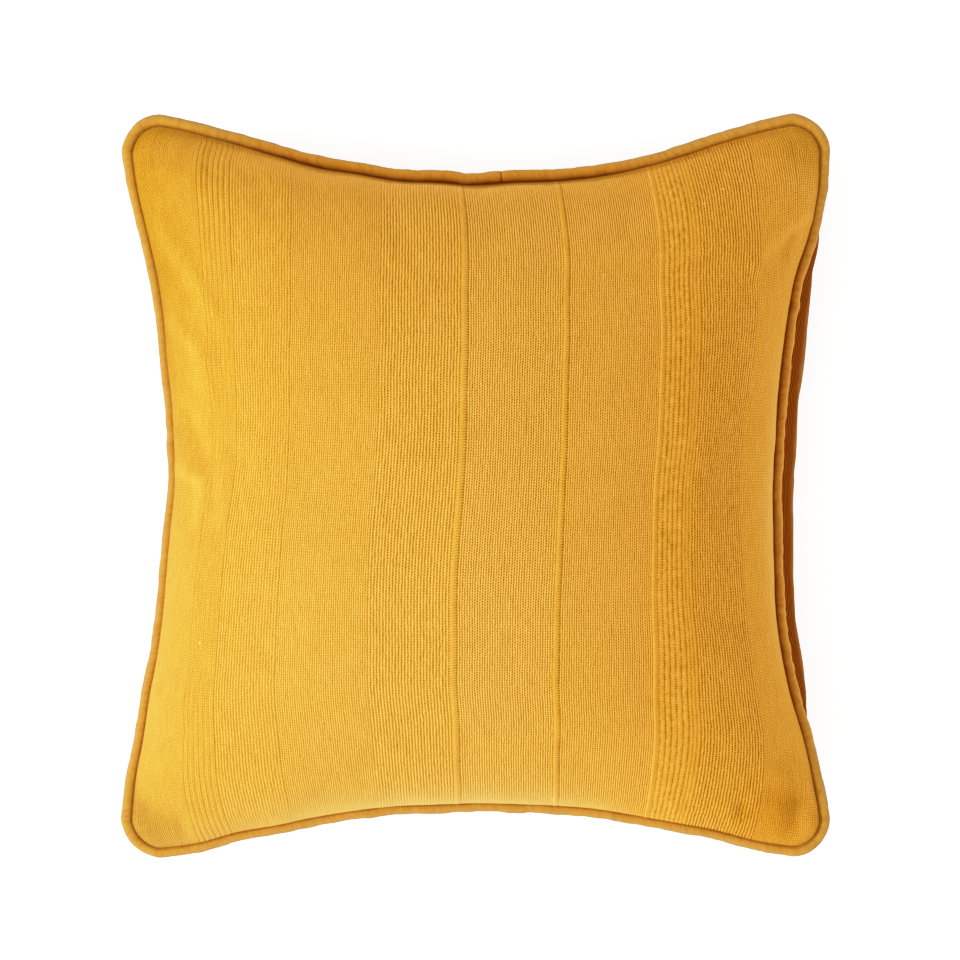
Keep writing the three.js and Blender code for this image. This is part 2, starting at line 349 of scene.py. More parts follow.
# How far in millimetres stripes stray to the right on the front, at these shares of its height
strayRows = (
    0, 0.01, 0.025, 0.05, 0.08, 0.14, 0.2, 0.3, 0.4, 0.5, 0.6, 0.7, 0.8, 0.86, 0.92, 0.95, 0.975,
    0.99, 1,
)
strays = (
    (0, (0,) * 19),
    (42, (
        -4.0, -2.3, 0.2, 2.6, 2.5, 2.3, 2.7, 3.3, 5.6, 9.8, 13.7, 12.4, 10.6, 9.4, 6.5, 5.0, 1.4,
        -1.6, -2.8)),
    (99.4, (
        -1.5, -0.9, 0.7, 3.9, 5.7, 6.0, 5.1, 4.4, 5.8, 7.2, 9.1, 9.8, 9.8, 9.6, 7.8, 4.6, 0.8,
        -1.1, -2.1)),
    (155.6, (
        -2.8, -2.6, -1.7, 0.1, 1.7, 2.7, 2.2, 1.6, 1.4, 2.0, 4.6, 5.1, 4.7, 4.5, 3.6, 1.9, 0.2,
        -0.6, -0.9)),
    (204.7, (
        -2.8, -2.7, -2.5, -2.2, -1.7, -1.2, -1.0, -0.5, -0.8, 0.4, 1.8, 2.2, 1.1, 0.7, 0.1, -1.0,
        -1.7, -2.2, -2.6)),
    (266, (
        -3.3, -3.5, -4.2, -5.7, -7.1, -7.8, -7.5, -6.0, -5.3, -5.1, -4.4, -4.0, -5.3, -6.2, -5.8,
        -5.1, -4.1, -3.6, -3.6)),
    (324.5, (
        -2.8, -3.6, -5.1, -7.7, -9.0, -8.7, -7.9, -5.8, -7.4, -7.5, -5.4, -5.3, -8.6, -9.6, -8.6,
        -7.1, -4.3, -3.0, -3.4)),
    (343.5, (
        -6.4, -7.3, -9.0, -11.7, -12.4, -10.8, -9.2, -8.0, -11.0, -11.5, -8.8, -9.1, -12.3, -13.5,
        -12.9, -11.7, -8.8, -7.4, -7.9)),
    (386.5, (
        -0.2, -1.4, -3.7, -6.2, -6.0, -5.1, -3.8, -4.9, -10.6, -12.4, -9.2, -5.3, -8.8, -12.0,
        -11.4, -9.9, -6.7, -4.4, -3.7)),
    (426, (0,) * 19),
)


def swayAt(places, rowShares):
    lines = np.array([line for line, _ in strays]) * mm
    rows = np.interp(rowShares, strayRows, np.linspace(0, 1, len(strayRows)))
    sways = np.array([throughKnots(stray, rows) for _, stray in strays]) * mm
    return np.stack([np.interp(places, lines, sways[:, k]) for k in range(len(rowShares))])


# The cords on the left lie flatter in the middle of the cloth's height than near its ends
leftRelief = (0.9, 0.6, 0.3, 0.2, 0.15, 0.15, 0.2, 0.3, 0.5, 1.0, 1.0)


def reliefAt(places, rowShares):
    flat = throughKnots(leftRelief, rowShares)
    offLeft = 1 - ease(places, 41 * mm, 43 * mm) + ease(places, 61.5 * mm, 63.5 * mm)
    return flat + (1 - flat) * offLeft


# Columns across the cloth, with the count of ribs so far
def clothColumns(detailed):
    labels = ("place", "count", "rise", "shade", "weft", "lines", "tone", "groove", "slub")
    inset = cloth["inset"]
    rows = []
    start, phase = 0, 0
    for stripe in cloth["stripes"]:
        wide = stripe["to"] - start
        ribs, steps = stripe.get("ribs", 0), stripe.get("steps", 0)
        cords = stripe.get("cords", ribs)
        if steps and detailed:
            count = cords * steps
        else:
            count = max(round(wide / stripe.get("apart", cloth["plainStep"])), 2)
        for k in range(count + 1):
            share = k / count
            inCord = share * cords % 1
            raised = steps and inCord > 1e-6 and k < count
            lift = math.sin(math.pi * inCord) ** cloth["roundness"] if raised else 0
            valley = (0.5 + 0.5 * math.cos(2 * math.pi * inCord)) ** cloth["grooveSharp"]
            rows.append([
                (start + inset + share * (wide - 2 * inset)) * mm, phase + share * ribs,
                stripe.get("rise", 0) * mm * lift, stripe.get("shade", 0), stripe["weft"],
                stripe.get("lines", 0), stripe.get("tone", 0),
                stripe.get("groove", 0) * (valley - cloth["grooveMean"]), stripe.get("slub", 0)])
        start, phase = stripe["to"], phase + ribs
    rows[0][0], rows[-1][0] = 0, cloth["width"]
    return dict(zip(labels, np.array(rows).T))


# Rows that lie closer together at the seam
def clothRows(count):
    t = np.linspace(0, 1, count)
    return t - cloth["rowPull"] * np.sin(2 * np.pi * t)


# Soft folds of the front, in millimetres of the plan: from, to, half width and height
folds = (
    (-188, 158, -153, 103, 4.2, 1.1), (-178, 97, -158, 72, 4.5, 1.2),
    (-158, 72, -156, 52, 4.5, 0.9), (-172, 47, -158, 14, 4.5, -1.7), (-176, 10, -160, -1, 4, 1.2),
    (-160, -1, -163, -22, 4, 1.0), (165, 130, 197, 162, 5, 1.8), (196, -186, 193, -205, 7, -1.4),
    (-200, -193, -199, -206, 4.5, -0.9), (-177, -201, -176, -211, 4, -0.9),
    (158, -192, 158, -198, 3.5, -1.3), (-149, 30, -148, -22, 5, 1.2),
    (182, 136, 189, 150, 4, -1.4),
)
# Painted light (below 0) and painted shade in streaks along those folds: from, to, half width and
# tone
paintedFoldShading = (
    (-193, 154, -163, 107, 2.6, -0.06), (-184, 160, -167, 136, 5, 0.05),
    (-182, 128, -172, 108, 5, 0.05), (-184, 100, -167, 80, 4, -0.06),
    (-167, 80, -163, 40, 4, -0.06), (-175, 52, -160, 22, 3.5, -0.08), (-178, 32, -163, 8, 4, 0.08),
    (-178, 10, -164, 2, 4, -0.1), (-164, 2, -166, -22, 4, -0.08),
    (-166.5, 209, -169.5, 188, 0.7, -0.13), (-175, 204, -178, 190, 4, 0.07),
    (-164, 200, -166, 180, 5, 0.07), (175, -186, 189, -193, 6, 0.1),
    (190, -190, 187, -206, 6, 0.12), (200, -184, 204, -193, 3, -0.06),
    (197, -197, 199, -208, 3.5, -0.1), (158, -194, 160, -199, 3, 0.15),
    (-202, -193, -200, -208, 3, 0.06), (-180, -203, -179, -212, 3, 0.06),
    (169, 136, 197, 161, 3, -0.1), (185, 138, 189, 148, 3.5, 0.12),
    (-149, 30, -149, -22, 5, -0.05), (186, -165, 189, -180, 4, 0.05),
)
# Where the front has painted shade or, below 0, painted light and sheen: places across and up in
# shares of the cloth, half widths and how much
shadeAndLightPatches = (
    (0, 0.45, 0.03, 0.5, 0.1), (0, 0.82, 0.07, 0.28, 0.25), (0.04, 0.4, 0.1, 0.5, 0.1),
    (0.45, 0.96, 0.3, 0.03, -0.1), (0.46, 0.0, 0.36, 0.03, -0.2), (1.0, 0.48, 0.06, 0.27, -0.15),
    (0.96, 0.965, 0.05, 0.035, 0.18), (0.03, 0.035, 0.045, 0.04, 0.44),
    (0.92, 0.05, 0.1, 0.07, 0.1),
)
# Where the front is paled by painted sheen or, below 0, warmed by painted warm bounce light
sheenAndPale = (
    (0.46, 0, 0.3, 0.066, 1.0), (1.0, 0.48, 0.1, 0.27, 0.6), (0, 0.3, 0.05, 0.35, 0.2),
    (0.45, 0.97, 0.25, 0.05, 0.1), (0.3, 0.25, 0.35, 0.3, 0.1), (0.83, 0.5, 0.12, 0.9, -0.8),
    (0.04, 0.3, 0.07, 0.3, 0.12), (0.93, 0.05, 0.07, 0.07, -0.7),
)
# Where the weave stands out more than in the rest of its stripe
woven = (
    (0.94, 0.93, 0.09, 0.07, 0.45), (0.02, 0.03, 0.03, 0.03, 0.8), (0.06, 0.015, 0.03, 0.025, 0.8),
    (0.05, 0.965, 0.05, 0.03, 0.25), (0.985, 0.06, 0.03, 0.04, 0.35),
)
# Painted shade where the cloth turns into its seams, and how far it reaches: widest where it is
# darkest, with a soft edge that is steeper as slope grows
turnedIn = dict(
    left=0.2, right=0.55, rightEnds=0.27, bottom=0.2, topEnds=0.3, topMiddle=0.95, reach=2.8 * mm,
    leastReach=0.6 * mm, slope=1.7,
)
# Ribs show less where the middle of the cloth turns into its top and bottom seams. Places are
# shares of the cloth's width and height.
plainEnds = dict(
    middle=0.46, half=(0.2, 0.4), top=0.35, topMiddle=0.4, topReach=(0.01, 0.13), bottomMiddle=0.8,
    bottomReach=(0.02, 0.085), hem=0.012,
)


# The sum of soft bands along these lines of the plan, in millimetres
def softBands(bands, x, y):
    total = np.zeros_like(x)
    for startX, startY, endX, endY, halfWidth, much in bands:
        along = np.array([endX - startX, endY - startY]) * mm
        offX, offY = x - startX * mm, y - startY * mm
        t = np.clip((offX * along[0] + offY * along[1]) / (along @ along), 0, 1)
        apart = np.hypot(offX - t * along[0], offY - t * along[1])
        total += much * np.exp(-(apart / (halfWidth * mm)) ** 2)
    return total


def softPatches(spots, across, up):
    total = np.zeros_like(across)
    for placeAcross, placeUp, halfAcross, halfUp, much in spots:
        apart = ((across - placeAcross) / halfAcross) ** 2 + ((up - placeUp) / halfUp) ** 2
        total += much * np.exp(-apart)
    return total


def ribClarity(across, up):
    middle = 1 - ease(np.abs(across - plainEnds["middle"]), *plainEnds["half"])
    top = plainEnds["top"] + plainEnds["topMiddle"] * middle
    atTop = 1 - top * (1 - ease(1 - up, *plainEnds["topReach"]))
    bottom = plainEnds["bottomMiddle"] * middle
    atBottom = 1 - bottom * (1 - ease(up, *plainEnds["bottomReach"]))
    return atTop * atBottom * np.clip(np.minimum(up, 1 - up) / plainEnds["hem"], 0, 1)


# How much painted shade the seam of the nearest side puts on the cloth, from 0 to 1
def seamShades(across, up):
    atEnds = ease(np.abs(across - 0.43), 0.19, 0.36)
    top = turnedIn["topMiddle"] + (turnedIn["topEnds"] - turnedIn["topMiddle"]) * atEnds
    shades = turnedIn["bottom"] + (top - turnedIn["bottom"]) * ease(up, 0.3, 0.7)
    toSide = ease(np.abs(across - 0.5), 0.4, 0.5) * ease(np.minimum(up, 1 - up), 0, 0.08)
    atEnds = ease(np.abs(up - 0.5), 0.27, 0.4)
    right = turnedIn["right"] + (turnedIn["rightEnds"] - turnedIn["right"]) * atEnds
    side = np.where(across > 0.5, right, turnedIn["left"])
    return shades + (side - shades) * toSide


# Cloth simulation: both panels as one closed bag with its seam held, pressed out from inside
# until it puckers. Only the puckers are kept: the broad part of the moves is left out.
press = dict(knots=86, frames=20, resting=0.4 * mm, broad=5.0, share=0.6, cap=1.2 * mm, fade=0.05)
clothSettings = {
    "quality": 6, "mass": 0.3, "tension_stiffness": 14, "compression_stiffness": 14,
    "shear_stiffness": 7, "bending_stiffness": 0.6, "shrink_min": -0.012,
    "use_pressure": True, "uniform_pressure_force": 2.0, "vertex_group_mass": "held",
}


# What is left of the moves of one panel when their broad part is taken away
def puckersOf(moves):
    knots = press["knots"]
    apart = np.arange(knots)[:, None] - np.arange(knots)[None, :]
    blur = np.exp(-0.5 * (apart / press["broad"]) ** 2)
    blur /= blur.sum(axis=1, keepdims=True)
    broad = np.einsum("ij,jkc,lk->ilc", blur, moves, blur, optimize=True)
    left = (moves - broad) * press["share"]
    far = np.linalg.norm(left, axis=-1, keepdims=True)
    cap = press["cap"]
    left *= cap * np.tanh(far / cap) / np.maximum(far, 1e-9)
    even = np.linspace(0, 1, knots)
    near = np.minimum(even, 1 - even)
    fade = ease(np.minimum(near[:, None], near[None, :]), 0, press["fade"])
    return left * fade[..., None]


def placesOf(mesh):
    places = np.empty(len(mesh.vertices) * 3)
    mesh.vertices.foreach_get("co", places)
    return places.reshape(-1, 3)


def simulateBag():
    knots = press["knots"]
    even = np.linspace(0, 1, knots)
    shares = np.meshgrid(even, even)
    front = frontPoints(*clothPlaces(*shares, edge["frontRise"]))
    back = backPoints(*clothPlaces(*shares, edge["backDepth"]))
    back[0], back[-1], back[:, 0], back[:, -1] = front[0], front[-1], front[:, 0], front[:, -1]
    points = np.concatenate([front.reshape(-1, 3), back.reshape(-1, 3)])
    bm = bmesh.new()
    place = bm.verts.layers.int.new("place")
    for facesUp in (True, False):
        made = bmesh.ops.create_grid(bm, x_segments=knots - 1, y_segments=knots - 1, size=0.5)
        if not facesUp:
            faces = list({face for vert in made["verts"] for face in vert.link_faces})
            bmesh.ops.reverse_faces(bm, faces=faces)
    bm.verts.ensure_lookup_table()
    for k, vert in enumerate(bm.verts):
        vert[place] = k
        vert.co = points[k]
    bmesh.ops.remove_doubles(bm, verts=bm.verts, dist=1e-6)
    mesh = bpy.data.meshes.new("bag")
    bm.to_mesh(mesh)
    bm.free()
    bag = linkObject("bag", mesh)
    order = np.empty(len(mesh.vertices), np.int32)
    mesh.attributes["place"].data.foreach_get("value", order)
    start = placesOf(mesh)
    row, column = (order % knots ** 2) // knots, order % knots
    atSeam = (row == 0) | (row == knots - 1) | (column == 0) | (column == knots - 1)
    held = np.nonzero(atSeam | (start[:, 2] < press["resting"]))[0]
    group = bag.vertex_groups.new(name="held")
    group.add([int(k) for k in held], 1.0, "REPLACE")
    pressed = bag.modifiers.new("cloth", "CLOTH")
    for label, value in clothSettings.items():
        setattr(pressed.settings, label, value)
    pressed.settings.effector_weights.gravity = 0
    pressed.collision_settings.use_collision = False
    scene = bpy.context.scene
    scene.frame_start, scene.frame_end = 1, press["frames"]
    for number in range(1, press["frames"] + 1):
        scene.frame_set(number)
    shaped = bag.evaluated_get(bpy.context.evaluated_depsgraph_get())
    moves = np.zeros((2 * knots ** 2, 3))
    moves[order] = placesOf(shaped.data) - start
    bpy.data.objects.remove(bag)
    scene.frame_set(1)
    puckers = [puckersOf(panel) for panel in moves.reshape(2, knots, knots, 3)]
    say(f"bag simulated, puckers to {np.abs(puckers).max() / mm:.2f} mm")
    return puckers


frontMoves, backMoves = simulateBag()


# The simulated moves at these shares of the cloth's width (rows by columns) and height (rows)
def carryMoves(moves, columnShares, rowShares):
    atRows = np.tensordot(knotWeights(rowShares, press["knots"]), moves, axes=1)
    return np.stack([
        knotWeights(columnShares[k], press["knots"]) @ atRows[k]
        for k in range(len(rowShares))])


def giveValues(mesh, domain, **layers):
    for label, values in layers.items():
        layer = mesh.attributes.new(label, "FLOAT", domain)
        layer.data.foreach_set("value", values.astype(np.float32))


# A panel: a grid carried to these points, closed by faces from its rim to one inner point
def panelObject(name, points, columns, rowShares, tones, pale, weave, facesUp, material):
    rows, count = points.shape[:2]
    panel = gridObject(name, points)
    mesh = panel.data
    at = {label: np.tile(values, rows) for label, values in columns.items()}
    up = np.repeat(rowShares, count)
    share = at["place"] / cloth["width"]
    clear = ribClarity(share, up)
    more = weave.reshape(-1)
    grooves = at["groove"] * reliefAt(at["place"], up) * clear
    giveValues(
        mesh, "POINT", clothAcross=at["place"], clothUp=up * cloth["height"],
        ribCount=at["count"], ribShade=at["shade"] * clear + more,
        weftShade=at["weft"] * clear + more, lineShade=at["lines"], slubShade=at["slub"],
        paleShare=pale.reshape(-1), seamShade=seamShades(share, up),
        stripeTone=at["tone"] + grooves + tones.reshape(-1))
    bm = bmesh.new()
    bm.from_mesh(mesh)
    rim = [e for e in bm.edges if e.is_boundary]
    for e in rim:
        e.smooth = False
    if not facesUp:
        bmesh.ops.reverse_faces(bm, faces=bm.faces)
    for face in bm.faces:
        face.smooth = True
    wall = bmesh.ops.extrude_edge_only(bm, edges=rim)
    inner = [v for v in wall["geom"] if isinstance(v, bmesh.types.BMVert)]
    middle = Vector((0, 0, edge["seamHeight"] + (1 if facesUp else -1) * edge["gap"] / 2))
    bmesh.ops.pointmerge(bm, verts=inner, merge_co=middle)
    bm.to_mesh(mesh)
    bm.free()
    mesh.materials.append(material)
    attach(panel, "root")
    return panel


# Plain node helpers for the materials
def nodeTree(name):
    material = bpy.data.materials.new(name)
    material.use_nodes = True
    tree = material.node_tree
    return material, tree, tree.nodes["Principled BSDF"]


# A number, a colour or another node's output, given to a socket
def feed(value, socket):
    if isinstance(value, (int, float)):
        socket.default_value = value
    elif isinstance(value, tuple):
        socket.default_value = (*value, 1)
    else:
        socket.id_data.links.new(value, socket)


# A new node in the tree of those values that are outputs of its nodes
def addNode(kind, *values):
    trees = [value.id_data for value in values if isinstance(value, bpy.types.NodeSocket)]
    return trees[0].nodes.new(kind)


def addMath(operation, *values):
    node = addNode("ShaderNodeMath", *values)
    node.operation = operation
    for value, socket in zip(values, node.inputs):
        feed(value, socket)
    return node.outputs[0]


# A value times a factor, added to another
def scaled(value, factor, base=0.0):
    return addMath("MULTIPLY_ADD", value, factor, base)


def product(first, second):
    return addMath("MULTIPLY", first, second)


# A value between 0 and 1
def clamped(value):
    node = addNode("ShaderNodeClamp", value)
    feed(value, node.inputs[0])
    return node.outputs[0]


def addAttribute(tree, name):
    node = tree.nodes.new("ShaderNodeAttribute")
    node.attribute_name = name
    return node.outputs["Fac"]


# Noise over two values, each times a scale
def addNoise(across, up, scales, detail=2.0):
    place = addNode("ShaderNodeCombineXYZ", across)
    for value, scale, socket in zip((across, up), scales, place.inputs):
        feed(scaled(value, scale), socket)
    node = addNode("ShaderNodeTexNoise", across)
    for value, label in ((place.outputs[0], "Vector"), (1, "Scale"), (detail, "Detail")):
        feed(value, node.inputs[label])
    return node.outputs["Fac"]


def mixed(factor, first, second, blend="MIX"):
    node = addNode("ShaderNodeMix", factor)
    node.data_type = "RGBA"
    node.blend_type = blend
    for value, socket in ((factor, "Factor"), (first, 6), (second, 7)):
        feed(value, node.inputs[socket])
    return node.outputs[2]


# Waves from 0 at whole counts to 1 between them
def wave(count):
    turn = addMath("COSINE", product(count, 2 * math.pi))
    return addMath("MULTIPLY_ADD", turn, -0.5, 0.5)


# The distance to the nearer end of a length
def toNearest(place, length):
    return addMath("MINIMUM", place, scaled(place, -1.0, length))


# A value's swing round its middle of a half, times a size
def swing(value, size, base=0.0):
    return scaled(scaled(value, 1.0, -0.5), size, base)


def finishCloth(shader, colour, height, look):
    bump = addNode("ShaderNodeBump", height)
    for node, label, value in (
        (bump, "Strength", look["bump"]), (bump, "Distance", look["bumpDepth"]),
        (bump, "Height", height), (shader, "Normal", bump.outputs[0]),
        (shader, "Base Color", colour), (shader, "Roughness", look["roughness"]),
        (shader, "Specular IOR Level", look["specular"]),
    ):
        feed(value, node.inputs[label])


# Cotton of the panels. Noises have waves for each metre across and up the cloth, the yarn's for
# each rib and each metre up. Its pale colour is painted sheen, its warm tint a painted warm bounce
# light and its deep colour the painted shade at the seams.
frontLook = dict(
    light=(0.815, 0.364, 0.073), dark=(0.2, 0.087, 0.0005), shadow=(1, 1, 0),
    pale=(0.6, 0.4, 0.115), paleValley=0.6, warmBounce=(1.0, 0.88, 0.68), seamShadow=(0.2, 0.04, 0.0005),
    tone=0.5, weftPitch=1.56 * mm, threads=1.0, yarn=0.32, yarnWaves=(3.7, 90), broad=0.08,
    broadWaves=(22, 22), grain=0.8, grainWaves=(1000, 1300), waver=0.65, weftWaver=0.8,
    waverWaves=(500, 200), slubWaves=(320, 260), slubStep=5.3, stagger=12.99, bump=0.6,
    bumpDepth=0.25 * mm, grainBump=0.3, roughness=0.9, specular=0.05,
)
# The back's colours are deep with painted shade, deeper where it bellies out beside the seam and
# most where it turns in under the piping, and paled between these places from its middle line to
# its sides
backLook = dict(
    frontLook, light=(0.37, 0.12, 0.006), dark=(0.1, 0.004, 0.0001), pale=(0.42, 0.22, 0.05),
    specular=0.01, tone=0.2, grain=0.4, threads=0.2, waver=0.2, besideShade=0.16, underShade=0.6, sheenAndPale=0.6,
    paleEnds=(0.966, 0.986), weave=1.1,
)
# Single slubs and flecks of the front: place on the cloth in shares, half widths in millimetres,
# and colour
flecks = (
    (0.122, 0.31, 0.9, 0.9, (0.4, 0.19, 0.02)), (0.124, 0.3065, 0.8, 1.1, (0.85, 0.44, 0.09)),
    (0.83, 0.895, 1.4, 0.5, (0.76, 0.44, 0.1)), (0.8, 0.875, 0.8, 0.6, (0.76, 0.44, 0.1)),
    (0.985, 0.595, 0.7, 1.4, (0.8, 0.55, 0.2)), (0.865, 0.885, 0.7, 0.6, (0.76, 0.44, 0.1)),
)


# The place on the flat cloth that lies at this share of the front's width and height
def clothPlaceAt(share, up):
    places = np.linspace(0, cloth["width"], 600)
    strayed = places + swayAt(places, np.array([up]))[0]
    return float(np.interp(share * cloth["width"], strayed, places))


def addFleck(across, up, colour, fleck):
    share, upShare, halfAcross, halfUp, tint = fleck
    place = clothPlaceAt(share, upShare)
    offX = scaled(across, 1 / (halfAcross * mm), -place / (halfAcross * mm))
    offY = scaled(up, 1 / (halfUp * mm), -upShare * cloth["height"] / (halfUp * mm))
    away = scaled(offX, offX, product(offY, offY))
    return mixed(clamped(scaled(away, -1.0, 1.0)), colour, tint)


def panelMaterial(name, look):
    material, tree, shader = nodeTree(name)
    across, up, count, shade, slub, stripeTone, pale, seamShade, weft, lines = (
        addAttribute(tree, label) for label in (
            "clothAcross", "clothUp", "ribCount", "ribShade", "slubShade", "stripeTone",
            "paleShare", "seamShade", "weftShade", "lineShade"))
    weft, lines = (scaled(value, look["threads"]) for value in (weft, lines))
    # Threads waver a little along the cloth
    waver = addNoise(across, up, look["waverWaves"])
    rib = addMath("ADD", count, swing(waver, look["waver"]))
    valley = addMath("SUBTRACT", 1.0, wave(rib))
    index = addMath("FLOOR", addMath("ADD", rib, 0.5))
    rows = scaled(up, 1 / look["weftPitch"], scaled(waver, look["weftWaver"]))
    # Cross threads dive at other places in each next valley, not quite evenly
    stagger = addMath("SINE", scaled(index, look["stagger"]))
    placed = scaled(stagger, 0.1, scaled(index, 0.5, 0.25))
    thread = wave(addMath("ADD", rows, placed))
    yarn = addNoise(index, up, look["yarnWaves"], 3)
    broad = addNoise(across, up, look["broadWaves"])
    grain = addNoise(across, up, look["grainWaves"], 1)
    # Painted shade: valleys between ribs are darker, most where a cross thread dives
    dive = product(scaled(thread, 1.0, -0.5), scaled(valley, 0.9, 0.1))
    tone = scaled(dive, weft, swing(valley, shade, stripeTone))
    tone = swing(wave(rows), lines, tone)
    for noise, strength in ((yarn, "yarn"), (broad, "broad"), (grain, "grain")):
        tone = swing(noise, look[strength], tone)
    knobs = scaled(across, look["slubWaves"][0], scaled(index, look["slubStep"]))
    slubs = addNoise(knobs, up, (1, look["slubWaves"][1]))
    tone = scaled(scaled(slubs, 2.0, -1.0), slub, tone)
    held = clamped(addMath("ADD", tone, look["tone"]))
    colour = mixed(held, look["light"], look["dark"])
    colour = mixed(held, colour, look["shadow"], "MULTIPLY")
    # Cloth is paler where its share is above 0, less so in its valleys: painted sheen on the front,
    # its plainer colour on the back. It is warmer where the share is below 0: painted warm bounce
    # light
    paler = product(pale, scaled(held, -look["paleValley"], 1.0))
    colour = mixed(paler, colour, look["pale"])
    colour = mixed(scaled(pale, -1.0), colour, look["warmBounce"], "MULTIPLY")
    # Painted shade where the cloth turns into the seam
    toSeam = addMath("MINIMUM", toNearest(across, cloth["width"]), toNearest(up, cloth["height"]))
    reach = scaled(seamShade, turnedIn["reach"], turnedIn["leastReach"])
    turned = addMath("SUBTRACT", 1.0, addMath("DIVIDE", toSeam, reach))
    turned = clamped(scaled(turned, turnedIn["slope"]))
    colour = mixed(product(turned, seamShade), colour, look["seamShadow"])
    for fleck in look.get("flecks", ()):
        colour = addFleck(across, up, colour, fleck)
    height = scaled(scaled(dive, -0.5), weft, product(valley, scaled(shade, -1.0)))
    finishCloth(shader, colour, scaled(grain, look["grainBump"], height), look)
    return material


# Painted shade of the back beside its seam and under the piping
def backShadeTones(across, up):
    near = np.maximum(np.abs(across), np.abs(up))
    besideShade = backLook["besideShade"] * ease(near, 0.6, 0.93)
    return besideShade + backLook["underShade"] * ease(near, 0.935, 0.995)


def makePanel(name, node, look, isFront, pointsOf, moves, rise, rows):
    columns = clothColumns(isFront)
    rowShares = clothRows(rows)
    flat, heights = np.meshgrid(columns["place"], rowShares)
    places = flat + swayAt(columns["place"], rowShares) if isFront else flat
    shares = np.clip(places / cloth["width"], 0, 1)
    across, up = clothPlaces(shares, heights, rise)
    points = pointsOf(across, up) + carryMoves(moves, shares, rowShares)
    normals = unit(np.cross(np.gradient(points, axis=1), np.gradient(points, axis=0)))
    if isFront:
        tones = softPatches(shadeAndLightPatches, shares, heights)
        tones += softBands(paintedFoldShading, points[..., 0], points[..., 1])
        pale = softPatches(sheenAndPale, shares, heights)
        weave = softPatches(woven, shares, heights)
    else:
        tones = backShadeTones(across, up)
        pale = look["sheenAndPale"] * (1 - ease(np.abs(across), *look["paleEnds"]))
        weave = np.full_like(shares, look["weave"])
    fade = np.clip(np.minimum(heights, 1 - heights) / cloth["fade"], 0, 1)
    perRib, perHeight = cloth["unevenPitch"]
    ribs = np.round(columns["count"])
    uneven = 1 + cloth["unevenRise"] * fieldNoise(ribs * perRib, heights * perHeight, 5)
    lift = columns["rise"] * fade * uneven * reliefAt(flat, heights)
    if isFront:
        lift = lift + softBands(folds, points[..., 0], points[..., 1]) * mm * fade
    points = points + normals * (lift if isFront else -lift)[..., None]
    points[..., 2] = np.maximum(points[..., 2], 0)
    material = panelMaterial(f"{name}Cotton", look)
    panel = panelObject(name, points, columns, rowShares, tones, pale, weave, isFront, material)
    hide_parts(node)
    say(f"{name}: {len(panel.data.polygons)} faces")


makePanel(
    "frontCloth", "front_panel", dict(frontLook, flecks=flecks), True, frontPoints, frontMoves,
    edge["frontRise"], cloth["rows"])
makePanel(
    "backCloth", "back_panel", backLook, False, backPoints, backMoves, edge["backDepth"],
    cloth["backRows"])


# Piping: cord in a bias strip, sewn into the seam, with its ends meeting on the top side. Waves
# are for each metre along and each turn around. Other pairs are a factor and what is added. Its
# outer colour is painted sheen, rim a painted highlight, inner and line painted shade (inner also
# for the dark join) and its right and top tints painted shade.
cord = dict(
    radius=3.55 * mm, lift=0.9 * mm, rightLift=1.3 * mm, join=0.05 * mm, joinPlace=0.536,
    steps=2400, around=20, lump=0.065, lumpLength=7 * mm, fineLump=0.32, fineLength=2.6 * mm,
    endThin=0.12, endLength=1.2 * mm, pucker=0.24 * mm, calm=0.8, wander=6.5 * mm,
    wanderChange=60 * mm, ripple=3.2 * mm, sag=8 * mm, colour=(0.455, 0.22, 0.024),
    dark=(0.31, 0.112, 0.004), inner=(0.18, 0.026, 0.0004), outer=(0.31, 0.19, 0.064),
    rim=(0.63, 0.275, 0.047), line=(0.2, 0.05, 0.0006), rightShadeTint=(0.95, 0.82, 0.6),
    topShadeTint=(1.12, 1.0, 0.68), thread=1.1 * mm, slant=12, weave=0.3, patchWaves=(240, 4),
    patch=(1.3, -0.5), blotch=(1.6, -0.7), pullWaves=(700, 7, 2.5), pull=1.3,
    fleckWaves=(1500, 28), fleck=0.9, unevenWaves=(190, 0), rimHighlightUneven=(1.2, 0.3),
    lineUneven=(1.6, 0.2), lineEdge=(21.0, 1.7), outerSheenPower=4.0, outerSheenAtRim=-0.6, rimHighlightPower=4.5,
    innerPower=2.2, endDark=0.6 * mm, pullBump=(-2.5, 2.0), bump=0.5, bumpDepth=0.2 * mm,
    roughness=0.85, specular=0.06,
)
# Painted shade where it faces the front: everywhere, and how much more at the top and right
innerShades = (0.05, 0.62, 1.5)
# How dark the painted shadow line beside the front is on each side, which fades from the left
# side's corners to its middle and is a little darker at the right side's corners
lineShades = dict(left=0.3, right=0.5, rightCorners=0.1, top=0.22, bottom=0.32)
# The piping lies bare from its middle to a little short of the seam, less what the front swells
# out over it, and at most this far
bare = dict(short=0.35 * mm, overShare=0.9, most=2.9 * mm)
# Lumps and pinches of the piping's outer edge: side, place along it in millimetres, how far out
# and half length
pinches = (
    ("top", -6, -0.6, 3), ("top", -19, 0.45, 7), ("top", -36, -0.5, 4), ("top", 12, 0.4, 9),
)


def pipingLine():
    top, left, bottom, right = (pipingLines[name] for name in ("top", "left", "bottom", "right"))
    cut = round(cord["joinPlace"] * (len(top) - 1))
    line = np.concatenate([
        top[:cut + 1][::-1], left[::-1][1:], bottom[1:], right[1:], top[::-1][1:len(top) - cut]])
    run = runOf(line)
    even = np.linspace(cord["join"] / 2, run[-1] - cord["join"] / 2, cord["steps"])
    x, y = pointsAt(line, run, even).T
    lift = cord["lift"] + cord["rightLift"] * np.where(x > 0, bellyShare(y), 0)
    return np.stack([x, y, seamLevel(x, y) + lift], axis=1), even


